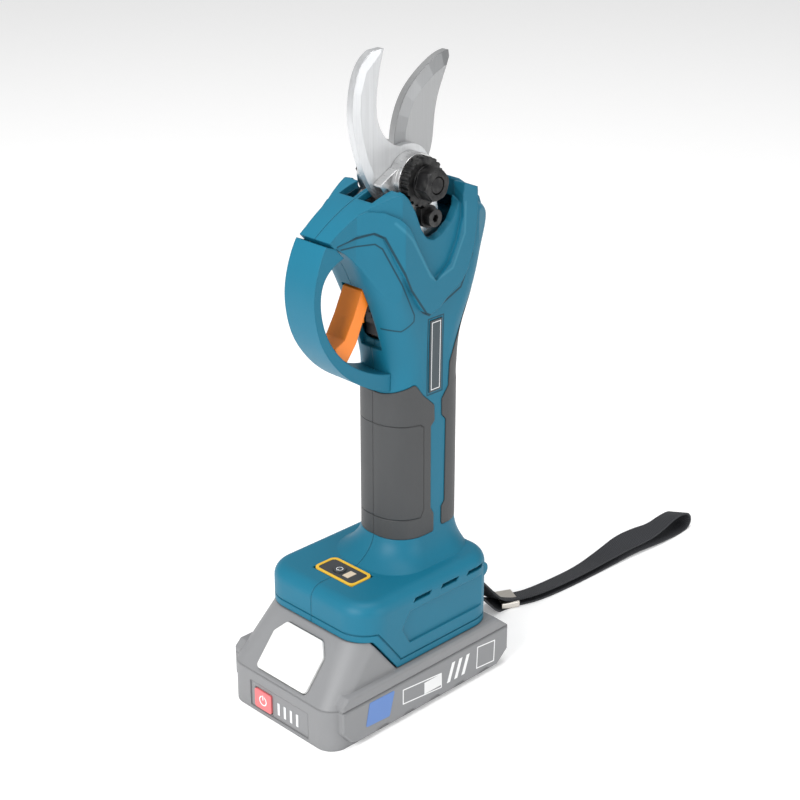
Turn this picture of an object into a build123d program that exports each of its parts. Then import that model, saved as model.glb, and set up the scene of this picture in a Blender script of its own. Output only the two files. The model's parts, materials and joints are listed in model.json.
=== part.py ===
from build123d import *
import math
import os

# Battery electric pruner, millimetres.
# +Z is up, the trigger side faces -X, the tool is symmetric about the XZ plane.
# Z = 0 is the surface under the battery pack.

# Battery pack
PACK_FRONT = -62.5
PACK_REAR = 54.0
PACK_HALF = 35.5
PLATE_HALF = 38.0
PACK_SPLIT = 21.0
PACK_WALL = 2.4
CELL_RADIUS = 9.1
CELL_LENGTH = 64.0
CELL_PITCH = 19.2

# Battery rails
SKIRT_LEVEL = 28.0
RIM_LEVEL = 46.5
PACK_DECK = SKIRT_LEVEL - 0.5
PACK_NOSE = RIM_LEVEL - 0.5
NECK_HALF = 25.0
RAIL_HALF = 28.5
RAIL_UNDER = 37.5
RAIL_TOP = 43.5
RAIL_GAP = 0.4

# Tool base
BASE_FRONT = -41.3
BASE_REAR = 47.5
BASE_HALF = 35.0
BASE_TOP = 65.0
BASE_CORNER = 15.0
FLOOR_TOP = 49.2
CHAMBER_TOP = 61.0

# Handle and neck, one row per level: height, front, rear, half width, corner radius
HANDLE_FRONT = -0.7
HANDLE_REAR = 44.1
HANDLE_HALF = 17.3
HANDLE_ROUND = HANDLE_HALF - 2.3
HANDLE_MID = (HANDLE_FRONT + HANDLE_REAR) / 2
NECK_START = 150.0
NECK_SECTIONS = [
    (NECK_START, HANDLE_FRONT, HANDLE_REAR, HANDLE_HALF, HANDLE_ROUND),
    (158.0, HANDLE_FRONT, HANDLE_REAR, HANDLE_HALF, HANDLE_ROUND),
    (168.0, -1.2, 44.6, 17.4, 14.6),
    (180.0, -4.0, 47.0, 17.7, 13.6),
    (192.0, -8.0, 51.6, 18.0, 12.6),
    (205.0, -13.4, 55.2, 18.2, 12.0),
    (217.0, -19.5, 58.2, 18.2, 11.6),
    (227.0, -30.0, 59.2, 18.2, 11.4),
    (252.0, -50.0, 59.6, 18.2, 11.4),
]
SHELL_WALL = 3.4
SEAM = 0.1
GUARD_HALF = 9.6

# Grips
GRIP_PROUD = 0.4
GRIP_DEPTH = 1.6
GRIP_GAP = 0.15

# Pivot, along Y
PIVOT_X = 15.5
PIVOT_Z = 249.0
BOLT_RADIUS = 4.0
RUN_FIT = 0.05
BLADE_THICK = 3.6
BLADE_GAP = 0.12
HUB_RADIUS = 14.0
FIXED_OUT = -5.3
FIXED_IN = FIXED_OUT + BLADE_THICK
MOVING_OUT = FIXED_IN + BLADE_GAP
MOVING_IN = MOVING_OUT + BLADE_THICK
NEAR_PLATE = -12.0
FAR_PLATE_IN = 11.2
FAR_PLATE_OUT = 14.2
BOSS_RADIUS = 11.8

# Bevel drive, apex at the crossing of pivot and drive axis
GEAR_RADIUS = 28.0
GEAR_TEETH = 36
PINION_TEETH = 9
FACE_RATIO = 0.72
DRIVE_RADIUS = 12.4

# Trigger
TRIGGER_X = -7.5
TRIGGER_Z = 207.5
TRIGGER_HALF = 6.0

# Wrist strap
PIN_X = 51.5
PIN_Z = 40.0
WEB_HALF = 6.0
WEB_THICK = 1.2

os.makedirs("parts", exist_ok=True)


def side_solid(points, half, corner):
    """Closed outline on the side view, rounded corners, spread both ways from the centre plane."""
    with BuildPart() as solid:
        with BuildSketch(Plane.XZ) as outline:
            with BuildLine():
                Polyline(*points, close=True)
            make_face()
            if corner > 0:
                fillet(outline.vertices(), corner)
        extrude(amount=half, both=True)
    return solid.part


def side_slab(points, near, far, corner):
    """Closed outline on the side view between two values of Y, near being the smaller."""
    with BuildPart() as solid:
        with BuildSketch(Plane.XZ.offset(-far)) as outline:
            with BuildLine():
                Polyline(*points, close=True)
            make_face()
            if corner > 0:
                fillet(outline.vertices(), corner)
        extrude(amount=far - near)
    return solid.part


def block(x0, x1, y0, y1, z0, z1):
    """Plain box from its six limits."""
    with BuildPart() as solid:
        with Locations(((x0 + x1) / 2, (y0 + y1) / 2, (z0 + z1) / 2)):
            Box(x1 - x0, y1 - y0, z1 - z0)
    return solid.part


def pillar(x, y, z0, z1, radius):
    """Upright cylinder."""
    with BuildPart() as solid:
        with BuildSketch(Plane.XY.offset(z0)):
            with Locations((x, y)):
                Circle(radius)
        extrude(amount=z1 - z0)
    return solid.part


def cross_bar(x, z, y0, y1, radius):
    """Cylinder along Y."""
    with BuildPart() as solid:
        with BuildSketch(Plane.XZ.offset(-y1)):
            with Locations((x, z)):
                Circle(radius)
        extrude(amount=y1 - y0)
    return solid.part


def save(shape, name):
    """Label a finished piece and write it out."""
    shape.label = name
    export_step(shape, "parts/" + name + ".step")


def grip_column(grow):
    """Handle and neck without the head trimming, every wall moved outward by grow."""
    with BuildPart() as column:
        with BuildSketch(Plane.XY.offset(60)):
            with Locations((HANDLE_MID, 0)):
                RectangleRounded(
                    HANDLE_REAR - HANDLE_FRONT + 2 * grow,
                    2 * (HANDLE_HALF + grow),
                    HANDLE_ROUND + grow,
                )
        extrude(amount=NECK_START - 60)
    with BuildPart() as neck:
        for level, front, rear, half, corner in NECK_SECTIONS:
            with BuildSketch(Plane.XY.offset(level)):
                with Locations(((front + rear) / 2, 0)):
                    RectangleRounded(rear - front + 2 * grow, 2 * (half + grow), corner + grow)
        loft()
    return column.part + neck.part


# ---------------------------------------------------------------- housing outlines

# Side outline of the head: everything of the neck column outside it is trimmed away.
HEAD_OUTLINE = [
    (-34.4, 231.0),
    (-27.0, 236.0),
    (-17.2, 241.2),
    (-8.0, 244.8),
    (0.0, 246.9),
    (5.1, 247.4),
    (37.0, 245.0),
    (44.5, 241.8),
    (52.0, 236.6),
    (57.5, 231.0),
    (60.0, 224.0),
    (66.0, 150.0),
    (66.0, 60.0),
    (-24.0, 60.0),
    (-24.0, 205.0),
    (-25.5, 221.0),
]
BROW_POINTS = 6

# Plan of the head front, one set each for its core, its raised band and its hollow
CORE_FRONT = [(-60, GUARD_HALF - 1.0), (-31, GUARD_HALF - 1.0), (-20, 10.0), (-11, 14.0)]
BAND_FRONT = [(-60, GUARD_HALF), (-31, GUARD_HALF), (-20, 10.8), (-11, 14.8)]
ROOM_FRONT = [(-60, 5.2), (-31, 5.2), (-20, 7.4), (-12, 11.5)]

# Raised band in the shape of a V around the recess.
BAND_OUTLINE = [
    (-36.0, 225.5),
    (-30.2, 228.4),
    (-19.5, 231.4),
    (-12.5, 232.0),
    (-9.2, 229.5),
    (-2.1, 213.8),
    (3.3, 202.9),
    (10.6, 191.6),
    (15.5, 188.6),
    (21.5, 190.6),
    (28.3, 195.8),
    (35.8, 199.6),
    (39.8, 204.7),
    (43.3, 214.2),
    (45.3, 227.5),
    (44.9, 239.9),
    (44.2, 246.0),
    (35.0, 246.0),
    (36.1, 229.6),
    (33.3, 219.5),
    (28.0, 209.8),
    (19.2, 203.4),
    (14.1, 211.0),
    (8.6, 221.2),
    (3.0, 231.8),
    (-2.2, 236.9),
    (-8.3, 240.3),
    (-15.2, 241.6),
    (-24.6, 238.4),
    (-36.0, 231.5),
]

# Opening over the pivot nut and the lock.
RECESS_OUTLINE = [
    (-6.0, 262.0),
    (-1.8, 251.0),
    (4.3, 245.2),
    (8.8, 238.0),
    (12.2, 229.6),
    (15.6, 224.8),
    (19.3, 223.4),
    (24.0, 224.8),
    (29.5, 229.0),
    (32.8, 234.5),
    (34.5, 242.0),
    (36.5, 262.0),
]

SCREW_PLACES = [
    (-25.5, 52.5),
    (39.0, 55.5),
    (36.6, 88.0),
    (36.6, 140.0),
    (41.0, 199.5),
    (52.0, 222.0),
    (-15.5, 227.0),
]
SCREW_RADIUS = 1.4
SCREW_HOLE = 1.5
HEAD_RADIUS = 2.8
HEAD_HOLE = 3.0


def plan_limit(front, half, level, height):
    """Plan view limit: narrow like the guard at the front, full width from the pivot back."""
    near = [(x, -y) for x, y in reversed(front)]
    rear = [(0, half), (48, half), (66, half - 8), (66, 8 - half), (48, -half), (0, -half)]
    with BuildPart() as solid:
        with BuildSketch(Plane.XY.offset(level)):
            with BuildLine():
                Polyline(*front, *rear, *near, close=True)
            make_face()
        extrude(amount=height)
    return solid.part


def base_block():
    """Base that carries the battery, with its stepped lower edge and the flare to the handle."""
    with BuildPart() as base:
        with BuildSketch(Plane.XY.offset(SKIRT_LEVEL)):
            with Locations(((BASE_FRONT + BASE_REAR) / 2, 0)):
                RectangleRounded(BASE_REAR - BASE_FRONT, 2 * BASE_HALF, BASE_CORNER)
        extrude(amount=BASE_TOP - SKIRT_LEVEL)
        fillet(base.faces().sort_by(Axis.Z)[-1].edges(), 6.5)
    with BuildPart() as flare:
        for level, front, rear, half, corner in [
            (62.5, -17.0, 46.6, 29.0, 21.0),
            (65.5, -11.0, 46.2, 24.6, 18.5),
            (69.0, -5.8, 45.4, 20.8, 16.5),
            (74.0, -2.1, 44.6, 18.3, 15.4),
            (81.0, HANDLE_FRONT, HANDLE_REAR, HANDLE_HALF, HANDLE_ROUND),
        ]:
            with BuildSketch(Plane.XY.offset(level)):
                with Locations(((front + rear) / 2, 0)):
                    RectangleRounded(rear - front, 2 * half, corner)
        loft()
    step = side_solid(
        [
            (-70, 10),
            (-19.7, 10),
            (-19.7, SKIRT_LEVEL),
            (-33.5, RIM_LEVEL),
            (-70, RIM_LEVEL),
        ],
        50,
        0,
    )
    wide = RAIL_HALF + RAIL_GAP
    rail = block(-70, 44.0, -wide, wide, RAIL_UNDER - RAIL_GAP, RAIL_TOP + 0.6)
    throat = block(-70, 44.0, -(NECK_HALF + RAIL_GAP), NECK_HALF + RAIL_GAP, 10, RAIL_TOP)
    line = [
        (-70, 49.6),
        (-31.4, 49.6),
        (-17.7, 31.2),
        (70, 31.2),
        (70, 31.9),
        (-17.35, 31.9),
        (-31.05, 50.3),
        (-70, 50.3),
    ]
    with BuildPart() as core:
        with BuildSketch(Plane.XY.offset(SKIRT_LEVEL)):
            with Locations(((BASE_FRONT + BASE_REAR) / 2, 0)):
                RectangleRounded(BASE_REAR - BASE_FRONT - 1.2, 2 * BASE_HALF - 1.2, BASE_CORNER - 0.6)
        extrude(amount=BASE_TOP - SKIRT_LEVEL)
    rim_line = side_solid(line, 50, 0) - core.part
    return base.part + flare.part - step - rail - throat - rim_line


def side_panels():
    """Shallow recesses in both sides of the base and the three vent slots above each."""
    panel = [(-16.5, 46.9), (-11.4, 54.6), (41.0, 54.6), (41.0, 38.0), (-11.8, 38.0)]
    cut = side_slab(panel, -50, -BASE_HALF + 0.9, 1.0) + side_slab(panel, BASE_HALF - 0.9, 50, 1.0)
    for start in (-9.5, 8.5, 26.0):
        vent = [
            (start, 58.2),
            (start + 1.5, 60.0),
            (start + 12.5, 60.0),
            (start + 11.0, 58.2),
        ]
        cut = cut + side_slab(vent, -50, -BASE_HALF + 4.4, 0)
        cut = cut + side_slab(vent, BASE_HALF - 4.4, 50, 0)
    return cut


def head_body():
    """Neck and head inside their side outline and plan limit, with the raised band."""
    with BuildPart() as solid:
        with BuildSketch(Plane.XZ):
            with BuildLine():
                Spline(*HEAD_OUTLINE[:BROW_POINTS])
                Polyline(*HEAD_OUTLINE[BROW_POINTS - 1:], HEAD_OUTLINE[0])
            make_face()
        extrude(amount=40, both=True)
    outline = solid.part
    core = grip_column(0) & outline & plan_limit(CORE_FRONT, 18.3, 50, 230)
    with BuildPart() as band:
        with BuildSketch(Plane.XZ) as shape:
            with BuildLine():
                Polyline(*BAND_OUTLINE, close=True)
            make_face()
            fillet(shape.vertices(), 1.2)
        extrude(amount=22, both=True)
    band = band.part & outline & plan_limit(BAND_FRONT, 20.2, 150, 110)
    return core + band


def recess_cut():
    """Openings on both sides over the pivot, and the slot the blades stand in."""
    with BuildPart() as near:
        with BuildSketch(Plane.XZ.offset(13.0)) as mouth:
            with BuildLine():
                Polyline(*RECESS_OUTLINE, close=True)
            make_face()
            fillet(mouth.vertices(), 2.0)
        extrude(amount=12, taper=-12)
    far = near.part.mirror(Plane.XZ)
    slot = block(0.9, 38.0, -14.6, 14.6, 226, 270) + block(-10.5, 1.0, -10.4, -1.3, 226, 270)
    return near.part + far + slot


def inner_space():
    """Hollow inside the handle, neck, head and base."""
    drop = [(x, z - SHELL_WALL) if z > 220 else (x, z) for x, z in HEAD_OUTLINE]
    drop[0] = (-29.0, 229.0)
    drop[-1] = (-22.0, 218.5)
    column = grip_column(-SHELL_WALL) & side_solid(drop, 40, 0)
    column = column & plan_limit(ROOM_FRONT, 14.9, 50, 230)
    with BuildPart() as chamber:
        with BuildSketch(Plane.XY.offset(FLOOR_TOP)):
            with Locations(((BASE_FRONT + BASE_REAR) / 2, 0)):
                RectangleRounded(BASE_REAR - BASE_FRONT - 7, 2 * BASE_HALF - 7, BASE_CORNER - 3.5)
        extrude(amount=CHAMBER_TOP - FLOOR_TOP)
    return column + chamber.part


def grip_zone(points, spare):
    """Side outline of a grip made into a cutter, spare makes it larger all round."""
    with BuildPart() as zone:
        with BuildSketch(Plane.XZ) as shape:
            with BuildLine():
                Polyline(*points, close=True)
            make_face()
            fillet(shape.vertices(), 1.2)
            if spare > 0:
                offset(amount=spare)
        extrude(amount=30, both=True)
    return zone.part


FRONT_GRIP = [
    (-8.0, 150.0),
    (-1.0, 151.0),
    (9.5, 155.5),
    (13.6, 149.5),
    (21.0, 142.6),
    (21.2, 134.8),
    (18.8, 132.5),
    (19.0, 90.5),
    (21.0, 87.0),
    (21.0, 77.5),
    (-8.0, 77.5),
]

REAR_GRIP = [
    (60.0, 193.5),
    (50.0, 193.5),
    (44.0, 183.0),
    (35.0, 169.0),
    (31.1, 161.0),
    (30.4, 149.5),
    (26.0, 144.0),
    (26.2, 136.0),
    (28.8, 133.2),
    (28.4, 91.0),
    (26.4, 88.6),
    (26.4, 79.0),
    (60.0, 79.0),
]

GRIP_INNER = grip_column(-GRIP_DEPTH)
GRIP_FLOOR = grip_column(-GRIP_DEPTH - 0.05)


def grip_part(points):
    """Soft grip lying in its pocket, both halves."""
    return (grip_zone(points, 0) & grip_column(GRIP_PROUD)) - GRIP_INNER


# ---------------------------------------------------------------- housing

HOLLOW = inner_space()

PLATE_X0 = 17.6
PLATE_X1 = 25.2
PLATE_Z0 = 149.5
PLATE_Z1 = 184.5


def back_cover_solid(spare):
    """Ribbed strip down the rear of the head."""
    rear = [
        (39.4, 245.2),
        (44.9, 242.9),
        (52.6, 237.6),
        (58.4, 231.6),
        (61.0, 224.8),
        (59.4, 218.6),
        (60.8, 216.8),
        (57.9, 210.6),
        (59.2, 208.8),
        (55.8, 202.8),
        (57.0, 201.0),
        (53.2, 194.8),
        (50.4, 194.8),
        (53.6, 203.0),
        (56.0, 214.0),
        (57.4, 224.0),
        (55.2, 229.4),
        (50.4, 234.4),
        (43.4, 239.4),
        (39.4, 241.4),
    ]
    with BuildPart() as strip:
        with BuildSketch(Plane.XZ) as shape:
            with BuildLine():
                Polyline(*rear, close=True)
            make_face()
            fillet(shape.vertices(), 0.8)
            if spare > 0:
                offset(amount=spare)
        extrude(amount=8.6 + spare, both=True)
    return strip.part


def guard_solid():
    """Finger guard loop between the head and the handle front."""
    outer = [
        (-20.0, 245.0),
        (-28.5, 238.6),
        (-36.3, 230.0),
        (-41.2, 219.8),
        (-43.7, 208.0),
        (-43.0, 197.0),
        (-40.0, 186.5),
        (-33.6, 175.9),
        (-25.1, 166.8),
        (-14.6, 159.4),
        (-3.0, 154.0),
        (6.0, 152.5),
    ]
    inner = [
        (6.0, 161.0),
        (-2.0, 162.0),
        (-10.5, 165.0),
        (-20.6, 170.6),
        (-30.2, 179.2),
        (-36.8, 189.6),
        (-39.6, 199.0),
        (-39.9, 208.5),
        (-37.8, 215.0),
        (-32.5, 220.2),
        (-24.0, 223.4),
        (-10.0, 226.0),
    ]
    with BuildPart() as loop:
        with BuildSketch(Plane.XZ):
            with BuildLine():
                Spline(*outer)
                Line(outer[-1], inner[0])
                Spline(*inner)
                Line(inner[-1], outer[0])
            make_face()
        extrude(amount=GUARD_HALF, both=True)
    seam = [(-25.1, 217.0), (-25.1, 221.2), (-34.4, 231.6), (-34.4, 260.0), (30.0, 260.0), (30.0, 217.0)]
    handle = grip_column(GRIP_GAP)
    return loop.part - side_solid(seam, 30, 0) - handle


def screw_face(x, z):
    """Distance from the centre plane to the housing side at one screw place."""
    if z < 70:
        return BASE_HALF
    if x < -10:
        return 9.6
    if x > 50:
        return 16.0
    if x > 40:
        return 16.6
    return 12.6


def screw_set():
    """Housing screws, heads on the +Y side."""
    group = []
    for x, z in SCREW_PLACES:
        reach = screw_face(x, z)
        shank = cross_bar(x, z, -8.0, reach - 4.0, SCREW_RADIUS)
        head = cross_bar(x, z, reach - 4.0, reach - 2.0, HEAD_RADIUS)
        drive = cross_bar(x, z, reach - 2.9, reach, 1.2)
        group.append((shank + head - drive).solid())
    return Compound(children=group)


PANEL_CENTRE = -21.0


def right_half():
    """The -Y half of the housing, without what differs between the halves."""
    side = block(-120, 120, -60, -SEAM, 0, 330)
    body = (base_block() & side) + (head_body() & side)
    body = body - (HOLLOW & side)
    for x, z in SCREW_PLACES:
        body = body + cross_bar(x, z, 2 - screw_face(x, z), -SEAM, 3.9)
    body = body + cross_bar(TRIGGER_X, TRIGGER_Z, -13.0, -6.5, 3.0)
    body = body - cross_bar(TRIGGER_X, TRIGGER_Z, -9.0, 0, 1.52)
    body = body - (side_panels() & side)
    body = body - (recess_cut() & side)
    for outline in (FRONT_GRIP, REAR_GRIP):
        body = body - ((grip_zone(outline, GRIP_GAP) & side) - GRIP_FLOOR)
    body = body - (back_cover_solid(0.15) & side)
    slot = [(-40, 204.8), (-5, 204.8), (0.5, 198), (0.5, 172.5), (-40, 172.5)]
    body = body - (side_solid(slot, 6.6, 0) & side)
    body = body - name_plate(0.1)
    body = body - block(PANEL_CENTRE - 7.1, PANEL_CENTRE + 7.1, -13.3, 0, 63.7, 70)
    body = body - pillar(PANEL_CENTRE, 2.2, 60, 70, 1.5)
    body = body - pillar(PANEL_CENTRE, 2.2, 63.0, 70, 3.3)
    body = body + (block(45.0, 55.0, -9.0, -6.6, 35.0, 45.0) - cross_bar(PIN_X, PIN_Z, -10, 0, 1.52))
    return body - block(BASE_REAR, 56.0, -6.5, 0, 30, 60)


def name_plate(spare):
    """Plain oblong plate on the side of the handle, following its slight lean."""
    with BuildPart() as plate:
        with BuildSketch(Plane.YZ.offset(PLATE_X0 - spare)):
            with BuildLine():
                Polyline(
                    (-17.75 - 5 * spare, PLATE_Z0 - spare),
                    (-18.2 - 5 * spare, PLATE_Z1 + spare),
                    (-16.9 + spare, PLATE_Z1 + spare),
                    (-16.9 + spare, PLATE_Z0 - spare),
                    close=True,
                )
            make_face()
        extrude(amount=PLATE_X1 - PLATE_X0 + 2 * spare)
    return plate.part


def shells():
    """Right half with pilot holes, left half with counterbored holes."""
    right = right_half()
    left = right.mirror(Plane.XZ)
    button_hole = pillar(PANEL_CENTRE, 2.2, 60, 70, 1.5) + pillar(PANEL_CENTRE, 2.2, 63.0, 70, 3.3)
    left = left - button_hole
    for x, z in SCREW_PLACES:
        reach = screw_face(x, z)
        right = right - cross_bar(x, z, -8.5, 0, SCREW_HOLE)
        left = left - cross_bar(x, z, 0, reach, SCREW_HOLE)
        left = left - cross_bar(x, z, reach - 4.0, reach + 12, HEAD_HOLE)
    sweep_room = cross_bar(PIVOT_X, PIVOT_Z, 4.0, 11.4, 29.7) & block(PIVOT_X, 60, 4.0, 11.4, 215, 238)
    return right, left - sweep_room


def halves(shape):
    """Split a symmetric piece at the centre plane with the housing seam."""
    right = shape & block(-120, 120, -60, -SEAM, 0, 330)
    return right, right.mirror(Plane.XZ)


# ---------------------------------------------------------------- pivot and blades

def blade_outline(edge, back, near, hub):
    """Blade between two smooth curves, joined to its hub disc, bored for the pivot bolt."""
    with BuildPart() as blade:
        with BuildSketch(Plane.XZ.offset(-near - BLADE_THICK)):
            with BuildLine():
                Spline(*edge)
                Line(edge[-1], back[-1])
                Spline(*reversed(back))
                Line(back[0], edge[0])
            make_face()
            with Locations((PIVOT_X, PIVOT_Z)):
                Circle(hub)
        extrude(amount=BLADE_THICK)
    return blade.part - cross_bar(PIVOT_X, PIVOT_Z, -30, 30, BOLT_RADIUS + RUN_FIT)


HOOK_INNER = [
    (1.6, 307.3),
    (-0.6, 299.6),
    (-2.7, 286.5),
    (-2.0, 277.0),
    (1.4, 270.2),
    (7.4, 265.0),
    (15.5, 263.0),
]
HOOK_OUTER = [
    (-4.6, 307.1),
    (-12.2, 300.8),
    (-15.6, 291.2),
    (-16.5, 282.2),
    (-15.1, 271.1),
    (-12.0, 260.2),
    (-7.2, 250.0),
    (1.0, 240.5),
    (11.0, 235.2),
]
EDGE_CURVE = [
    (44.4, 299.6),
    (40.0, 298.9),
    (31.8, 295.3),
    (24.1, 290.1),
    (18.1, 284.0),
    (13.9, 276.0),
    (12.0, 269.0),
    (11.4, 262.0),
]
BACK_CURVE = [
    (44.9, 296.6),
    (41.4, 288.5),
    (38.0, 280.6),
    (36.2, 273.3),
    (35.3, 265.7),
    (34.0, 258.2),
    (29.5, 250.5),
]
BLADE_SCREWS = [(9.6, 20), (9.6, 140), (9.6, 260)]


def polar(radius, degrees):
    """Point on the side view at a radius and angle from the pivot."""
    turn = math.radians(degrees)
    return PIVOT_X + radius * math.cos(turn), PIVOT_Z + radius * math.sin(turn)


def fixed_blade():
    """Hook blade, the nearer of the two."""
    blade = blade_outline(HOOK_INNER, HOOK_OUTER, FIXED_OUT, HUB_RADIUS + 0.8)
    return blade - cross_bar(-1.5, 246.5, -30, 30, 1.55)


def moving_blade():
    """Cutting blade, with countersunk bores for the screws that carry the gear."""
    blade = blade_outline(EDGE_CURVE, BACK_CURVE, MOVING_OUT, HUB_RADIUS)
    for radius, degrees in BLADE_SCREWS:
        x, z = polar(radius, degrees)
        blade = blade - cross_bar(x, z, MOVING_OUT, MOVING_IN, SCREW_HOLE)
        blade = blade - cross_bar(x, z, MOVING_OUT, MOVING_OUT + 1.8, HEAD_HOLE)
    return blade


def gear_screws():
    """Three screws from the blade into the gear hub."""
    group = []
    for radius, degrees in BLADE_SCREWS:
        x, z = polar(radius, degrees)
        shank = cross_bar(x, z, MOVING_OUT + 1.8, MOVING_IN + 5.5, SCREW_RADIUS)
        head = cross_bar(x, z, MOVING_OUT + 0.1, MOVING_OUT + 1.8, HEAD_RADIUS)
        group.append((shank + head - cross_bar(x, z, MOVING_OUT, MOVING_OUT + 0.9, 1.1)).solid())
    return Compound(children=group)


CONE = math.hypot(GEAR_RADIUS, GEAR_RADIUS / 4)
PINION_RADIUS = GEAR_RADIUS * PINION_TEETH / GEAR_TEETH
GEAR_FLANK = [(-1.75, 1.62), (0.8, 0.74)]
PINION_FLANK = [(-1.3, 0.92), (-0.3, 1.06), (0.0, 1.02), (0.6, 0.82), (1.3, 0.42)]


def cone_tooth(along, across, flank):
    """One straight bevel tooth about the apex, tapering in step with its distance from it."""
    with BuildPart() as tooth:
        for scale in (1.0, FACE_RATIO):
            centre = along * (CONE * scale)
            centre = Vector(PIVOT_X, 0, PIVOT_Z) + centre
            with BuildSketch(Plane(origin=centre, x_dir=across, z_dir=along)):
                left = [(-w * scale, h * scale) for h, w in flank]
                right = [(w * scale, h * scale) for h, w in reversed(flank)]
                with BuildLine():
                    Polyline(*left, *right, close=True)
                make_face()
        loft(ruled=True)
    return tooth.part


def sector_gear():
    """Bevel sector bolted to the moving blade."""
    web = 10.9
    with BuildPart() as body:
        with BuildSketch(Plane.XZ.offset(-web)):
            with Locations((PIVOT_X, PIVOT_Z)):
                Circle(HUB_RADIUS - 0.4)
        extrude(amount=web - MOVING_IN)
    low = GEAR_RADIUS / CONE
    rise = low / 4
    rows = []
    for radius in (19.5, 29.0):
        rows.append((radius, radius * 0.25 + 1.55 * radius / GEAR_RADIUS))
    with BuildPart() as rim:
        with BuildSketch(Plane.XY):
            with BuildLine():
                Polyline(
                    (12.0, web),
                    (12.0, 7.2),
                    rows[0],
                    rows[1],
                    (29.0, web),
                    close=True,
                )
            make_face()
        revolve(axis=Axis.Y, revolution_arc=76)
    rim = rim.part.rotate(Axis.Y, 76)
    rim = rim.moved(Location((PIVOT_X, 0, PIVOT_Z)))
    gear = body.part + rim
    for index in range(8):
        turn = math.radians(275 - 10 * index)
        outward = Vector(math.cos(turn), 0, math.sin(turn))
        along = (outward * low + Vector(0, rise, 0)).normalized()
        across = Vector(-math.sin(turn), 0, math.cos(turn))
        height = along.cross(across)
        if height.Y > 0:
            across = across * -1
        gear = gear + cone_tooth(along, across, GEAR_FLANK)
    gear = gear - cross_bar(PIVOT_X, PIVOT_Z, -30, 30, BOLT_RADIUS + RUN_FIT)
    for radius, degrees in BLADE_SCREWS:
        x, z = polar(radius, degrees)
        gear = gear - cross_bar(x, z, MOVING_IN, MOVING_IN + 6.0, SCREW_HOLE)
    return gear


def bevel_pinion():
    """Bevel pinion on the drive axis under the pivot."""
    root_z = -28.3
    root_r = 5.95
    with BuildPart() as core:
        with BuildSketch(Plane.XY.offset(PIVOT_Z + root_z)):
            with Locations((PIVOT_X, 0)):
                Circle(root_r)
        with BuildSketch(Plane.XY.offset(PIVOT_Z + root_z * FACE_RATIO)):
            with Locations((PIVOT_X, 0)):
                Circle(root_r * FACE_RATIO)
        loft(ruled=True)
    pinion = core.part + pillar(PIVOT_X, 0, 199.0, PIVOT_Z + root_z, 3.5)
    side = PINION_RADIUS / CONE
    down = GEAR_RADIUS / CONE
    for index in range(PINION_TEETH):
        turn = math.radians(90 + 360 / PINION_TEETH * index)
        outward = Vector(math.cos(turn), math.sin(turn), 0)
        along = (outward * side + Vector(0, 0, -down)).normalized()
        across = Vector(-math.sin(turn), math.cos(turn), 0)
        height = along.cross(across)
        if height.dot(outward) < 0:
            across = across * -1
        pinion = pinion + cone_tooth(along, across, PINION_FLANK)
    return pinion


def head_frame():
    """Metal frame: a plate on each side of the blades and a bridge over the gearbox."""
    arm = [(4.0, 198), (27.0, 198), (28.0, 222), (28.0, 234), (25.5, 243), (5.0, 243), (4.0, 225)]
    near = side_slab(arm, NEAR_PLATE, -9.5, 2.0)
    near = near + cross_bar(PIVOT_X, PIVOT_Z, NEAR_PLATE, FIXED_OUT - 0.1, BOSS_RADIUS)
    lug = [(-5.5, 250.0), (6.0, 256.0), (6.0, 238.0), (1.0, 240.5)]
    near = near + side_slab(lug, NEAR_PLATE + 2, FIXED_OUT - 0.1, 1.0)
    far = side_slab(arm, FAR_PLATE_IN, FAR_PLATE_OUT, 2.0)
    far = far + cross_bar(PIVOT_X, PIVOT_Z, FAR_PLATE_IN, FAR_PLATE_OUT, BOSS_RADIUS)
    bridge = block(4.0, 27.0, NEAR_PLATE, FAR_PLATE_OUT, 198.0, 206.0)
    frame = near + far + bridge
    frame = frame - pillar(PIVOT_X, 0, 190, 210, 8.0)
    frame = frame - cross_bar(PIVOT_X, PIVOT_Z, -30, 30, BOLT_RADIUS + RUN_FIT)
    frame = frame - cross_bar(19.5, 232.3, -30, -8, 2.05)
    return frame - cross_bar(-1.5, 246.5, -30, 0, 1.55)


def pivot_bolt():
    """Bolt with its head on the +Y side."""
    with BuildPart() as bolt:
        with BuildSketch(Plane.XZ.offset(-FAR_PLATE_OUT)):
            with Locations((PIVOT_X, PIVOT_Z)):
                Circle(BOLT_RADIUS)
        extrude(amount=FAR_PLATE_OUT + 23.8)
        chamfer(bolt.faces().sort_by(Axis.Y)[0].edges(), 0.6)
        with BuildSketch(Plane.XZ.offset(-FAR_PLATE_OUT - 5.3)):
            with Locations((PIVOT_X, PIVOT_Z)):
                RegularPolygon(6.5, 6, major_radius=False)
        extrude(amount=5.3)
    return bolt.part


def lock_gear():
    """Serrated wheel that holds the nut."""
    with BuildPart() as wheel:
        with BuildSketch(Plane.XZ.offset(12.1)):
            with Locations((PIVOT_X, PIVOT_Z)):
                Circle(11.0)
                Circle(BOLT_RADIUS + RUN_FIT, mode=Mode.SUBTRACT)
                with PolarLocations(11.2, 20, start_angle=-81):
                    Circle(1.05, mode=Mode.SUBTRACT)
        extrude(amount=4.3)
    return wheel.part


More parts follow.
